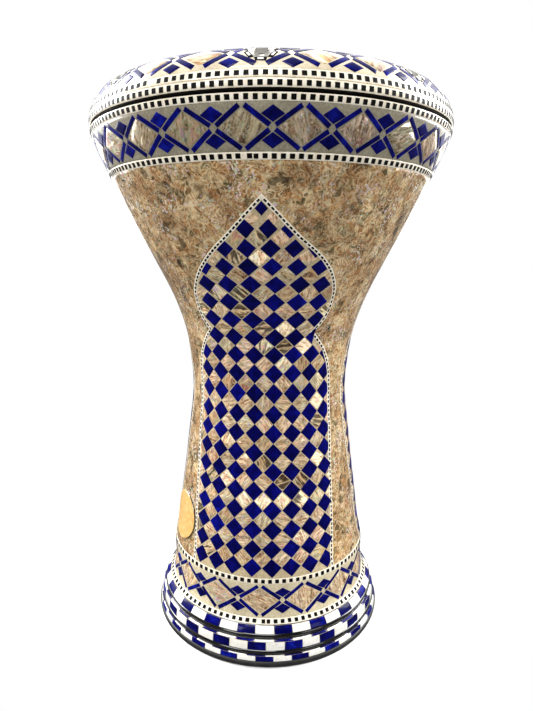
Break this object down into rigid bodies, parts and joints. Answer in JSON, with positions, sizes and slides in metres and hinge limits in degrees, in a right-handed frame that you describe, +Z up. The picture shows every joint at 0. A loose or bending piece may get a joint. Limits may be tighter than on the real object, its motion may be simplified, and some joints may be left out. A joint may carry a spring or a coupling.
{
  "type": "goblet drum",
  "caption": "Inlaid goblet drum: cast shell with flared foot, film head clamped by a bolted tuning ring; stands on its base, played by hand.",
  "frame": {"origin": "centre of the base on the floor, under the drum's axis", "axes": "+Z up along the drum's axis towards the head; the middle of the front arch panel faces -Y; +X is to the right seen from the front"},
  "size_m": [0.2802, 0.2802, 0.4346],
  "materials": {
    "cast_aluminium": "as-cast, lightly brushed",
    "ring_aluminium": "cast and turned",
    "hoop_aluminium": "rolled",
    "drum_head": "smooth translucent film",
    "crushed_shell": "crushed mother-of-pearl under polished resin",
    "checker_inlay": "cobalt and mother-of-pearl tiles, polished",
    "mosaic_inlay": "cobalt strips and mother-of-pearl lozenges, polished",
    "ivory_strip": "cream strip with inlaid black squares, polished",
    "foot_tiles": "cobalt and white tiles, polished",
    "black_bead": "polished black",
    "base_rubber": "matte",
    "badge_gold": "plain satin plate",
    "brass_insert": "machined",
    "bezel_inlay": "black strips with white oblongs, polished",
    "bolt_steel": "plated"
  },
  "bodies": {
    "shell": {"shell_casting": "cast_aluminium", "head_film": "drum_head", "pearl_field": "crushed_shell", "arch_panel_front": "checker_inlay", "arch_panel_right": "checker_inlay", "arch_panel_left": "checker_inlay", "arch_border_front": "ivory_strip", "arch_border_right": "ivory_strip", "arch_border_left": "ivory_strip", "upper_mosaic_band": "mosaic_inlay", "lower_mosaic_band": "mosaic_inlay", "dot_strip_rim": "ivory_strip", "dot_strip_shoulder": "ivory_strip", "dot_strip_ankle": "ivory_strip", "dot_strip_foot": "ivory_strip", "foot_tile_ring_1": "foot_tiles", "foot_tile_ring_2": "foot_tiles", "foot_tile_ring_3": "foot_tiles", "foot_bead_1": "black_bead", "foot_bead_2": "black_bead", "base_rubber_rim": "base_rubber", "badge_plate": "badge_gold", "thread_insert_1": "brass_insert", "thread_insert_2": "brass_insert", "thread_insert_3": "brass_insert", "thread_insert_4": "brass_insert", "thread_insert_5": "brass_insert", "thread_insert_6": "brass_insert", "thread_insert_7": "brass_insert", "thread_insert_8": "brass_insert"},
    "tuning_ring": {"tuning_ring_casting": "ring_aluminium", "ring_dot_strip_lower": "ivory_strip", "ring_dot_strip_upper": "ivory_strip", "ring_mosaic": "mosaic_inlay", "flesh_hoop": "hoop_aluminium", "washer_1": "bolt_steel", "bolt_bezel_1": "bezel_inlay", "washer_2": "bolt_steel", "bolt_bezel_2": "bezel_inlay", "washer_3": "bolt_steel", "bolt_bezel_3": "bezel_inlay", "washer_4": "bolt_steel", "bolt_bezel_4": "bezel_inlay", "washer_5": "bolt_steel", "bolt_bezel_5": "bezel_inlay", "washer_6": "bolt_steel", "bolt_bezel_6": "bezel_inlay", "washer_7": "bolt_steel", "bolt_bezel_7": "bezel_inlay", "washer_8": "bolt_steel", "bolt_bezel_8": "bezel_inlay"},
    "tuning_bolt_1": {"tuning_bolt_1": "bolt_steel"},
    "tuning_bolt_2": {"tuning_bolt_2": "bolt_steel"},
    "tuning_bolt_3": {"tuning_bolt_3": "bolt_steel"},
    "tuning_bolt_4": {"tuning_bolt_4": "bolt_steel"},
    "tuning_bolt_5": {"tuning_bolt_5": "bolt_steel"},
    "tuning_bolt_6": {"tuning_bolt_6": "bolt_steel"},
    "tuning_bolt_7": {"tuning_bolt_7": "bolt_steel"},
    "tuning_bolt_8": {"tuning_bolt_8": "bolt_steel"}
  },
  "joints": [
    {"name": "head_tension", "type": "slide", "parent": "shell", "child": "tuning_ring", "axis": [0, 0, 1], "range_m": [-0.0012, 0.004]},
    {"name": "bolt_1_turn", "type": "hinge", "parent": "tuning_ring", "child": "tuning_bolt_1", "pos_m": [0.00337, -0.12876, 0.4211], "axis": [0, 0, 1], "range_deg": [-542, 1802]},
    {"name": "bolt_2_turn", "type": "hinge", "parent": "tuning_ring", "child": "tuning_bolt_2", "pos_m": [0.09343, -0.08866, 0.4211], "axis": [0, 0, 1], "range_deg": [-542, 1802]},
    {"name": "bolt_3_turn", "type": "hinge", "parent": "tuning_ring", "child": "tuning_bolt_3", "pos_m": [0.12876, 0.00337, 0.4211], "axis": [0, 0, 1], "range_deg": [-542, 1802]},
    {"name": "bolt_4_turn", "type": "hinge", "parent": "tuning_ring", "child": "tuning_bolt_4", "pos_m": [0.08866, 0.09343, 0.4211], "axis": [0, 0, 1], "range_deg": [-542, 1802]},
    {"name": "bolt_5_turn", "type": "hinge", "parent": "tuning_ring", "child": "tuning_bolt_5", "pos_m": [-0.00337, 0.12876, 0.4211], "axis": [0, 0, 1], "range_deg": [-542, 1802]},
    {"name": "bolt_6_turn", "type": "hinge", "parent": "tuning_ring", "child": "tuning_bolt_6", "pos_m": [-0.09343, 0.08866, 0.4211], "axis": [0, 0, 1], "range_deg": [-542, 1802]},
    {"name": "bolt_7_turn", "type": "hinge", "parent": "tuning_ring", "child": "tuning_bolt_7", "pos_m": [-0.12876, -0.00337, 0.4211], "axis": [0, 0, 1], "range_deg": [-542, 1802]},
    {"name": "bolt_8_turn", "type": "hinge", "parent": "tuning_ring", "child": "tuning_bolt_8", "pos_m": [-0.08866, -0.09343, 0.4211], "axis": [0, 0, 1], "range_deg": [-542, 1802]}
  ],
  "couplings": [
    {"joint": "bolt_1_turn", "follows": "head_tension", "rad_per_m": 7854},
    {"joint": "bolt_2_turn", "follows": "head_tension", "rad_per_m": 7854},
    {"joint": "bolt_3_turn", "follows": "head_tension", "rad_per_m": 7854},
    {"joint": "bolt_4_turn", "follows": "head_tension", "rad_per_m": 7854},
    {"joint": "bolt_5_turn", "follows": "head_tension", "rad_per_m": 7854},
    {"joint": "bolt_6_turn", "follows": "head_tension", "rad_per_m": 7854},
    {"joint": "bolt_7_turn", "follows": "head_tension", "rad_per_m": 7854},
    {"joint": "bolt_8_turn", "follows": "head_tension", "rad_per_m": 7854}
  ]
}
